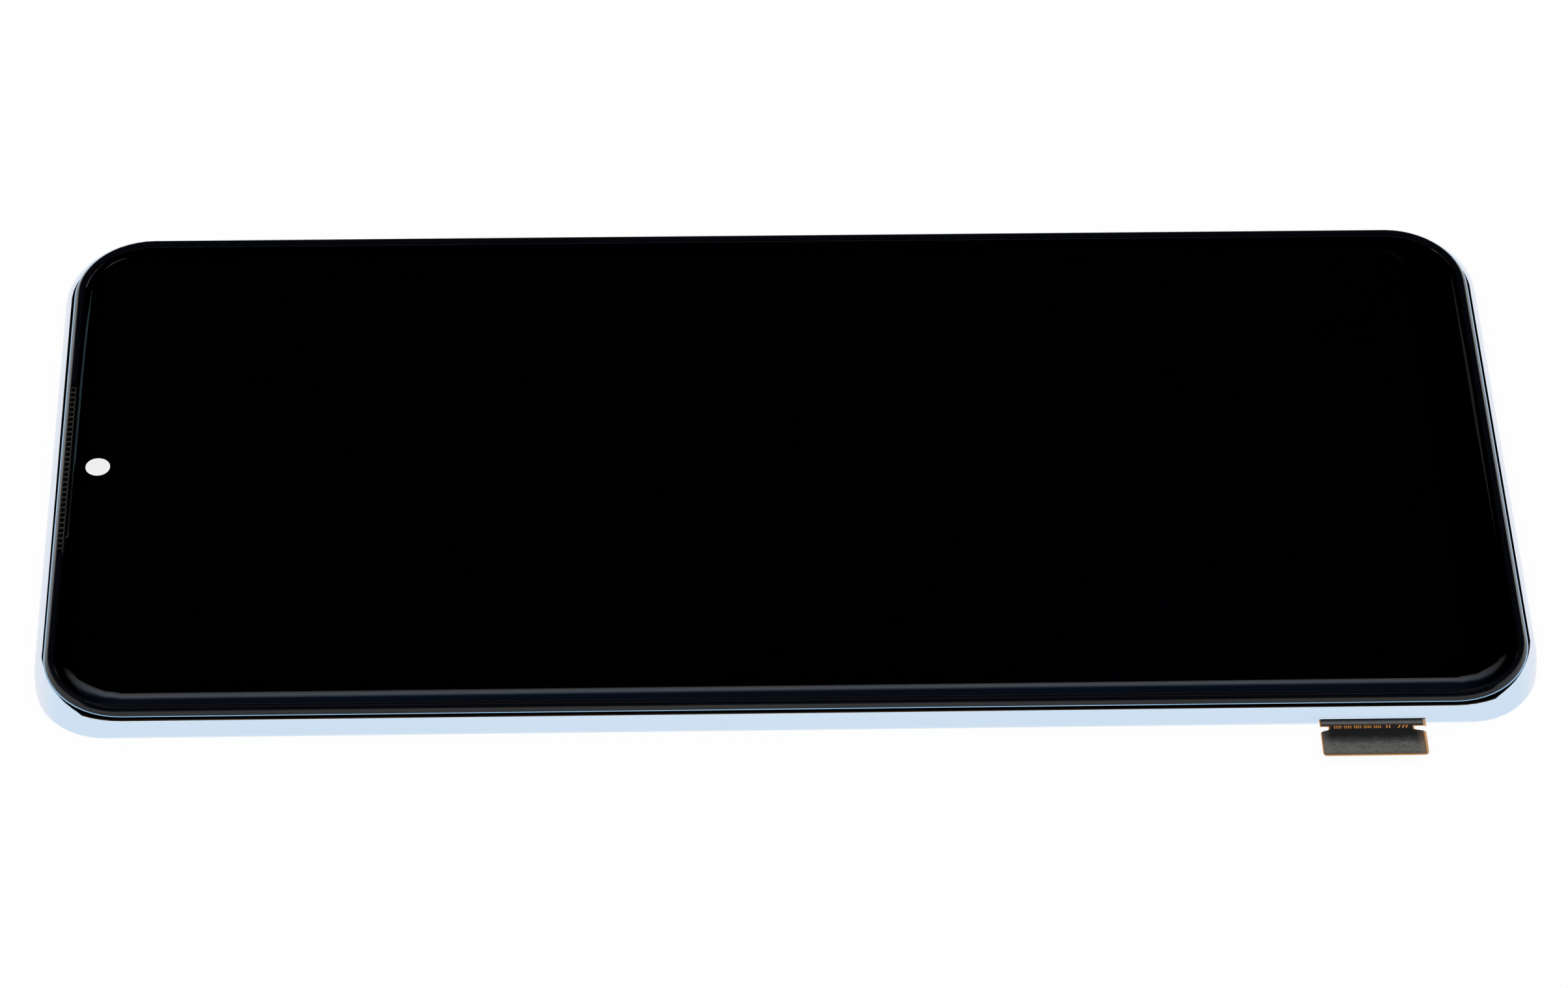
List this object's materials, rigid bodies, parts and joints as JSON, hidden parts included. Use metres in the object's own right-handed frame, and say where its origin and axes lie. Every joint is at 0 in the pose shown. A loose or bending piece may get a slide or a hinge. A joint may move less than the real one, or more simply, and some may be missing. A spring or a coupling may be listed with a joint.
{
  "type": "phone lcd screen assembly",
  "caption": "Phone LCD screen assembly: rounded cover glass over a backlit display module, bonded in a side frame with mid plate and display flex.",
  "frame": {"origin": "centre of the four screw standoffs, on the plane of the rear rim", "axes": "+X along the length to the bottom end with the flex loop, +Y across the width away from the flex head, +Z out of the screen"},
  "size_m": [0.164, 0.0812, 0.0037],
  "materials": {
    "ice_blue_metal": "high gloss",
    "gloss_black_plastic": "high gloss",
    "black_steel_mesh": "satin",
    "cover_glass": "polished",
    "black_ink": "matt",
    "black_foam_tape": "matt",
    "optical_adhesive": "clear",
    "polarizer_film": "smooth",
    "cell_glass": "polished",
    "silicon": "polished",
    "optical_film": "satin",
    "light_guide_acrylic": "clear",
    "silver_film": "mirror",
    "led_package": "smooth",
    "white_flex": "matt",
    "white_plastic": "matt",
    "tray_steel": "brushed",
    "plate_aluminium": "satin",
    "moulded_black_plastic": "matt",
    "brass": "turned",
    "polyimide": "smooth",
    "shield_film": "fine grain",
    "gold_contacts": "plated",
    "component_body": "matt"
  },
  "bodies": {
    "root": {"side_frame": "ice_blue_metal", "front_lip": "gloss_black_plastic", "earpiece_mesh": "black_steel_mesh", "cover_glass": "cover_glass", "ink_mask": "black_ink", "front_adhesive": "black_foam_tape", "optical_adhesive": "optical_adhesive", "front_polarizer": "polarizer_film", "color_filter_glass": "cell_glass", "tft_glass": "cell_glass", "driver_chip": "silicon", "rear_polarizer": "polarizer_film", "rim_tape": "black_foam_tape", "upper_prism_film": "optical_film", "lower_prism_film": "optical_film", "diffuser_film": "optical_film", "light_guide": "light_guide_acrylic", "reflector_film": "silver_film", "backlight_leds": "led_package", "led_flex": "white_flex", "backlight_frame": "white_plastic", "backlight_tray": "tray_steel", "tray_tape": "black_foam_tape", "mid_plate": "plate_aluminium", "battery_ribs": "moulded_black_plastic", "screw_standoffs": "brass", "display_flex": "polyimide", "flex_shield": "shield_film", "head_stiffener": "shield_film", "flex_connector": "moulded_black_plastic", "connector_contacts": "gold_contacts", "flex_components": "component_body"}
  },
  "joints": []
}
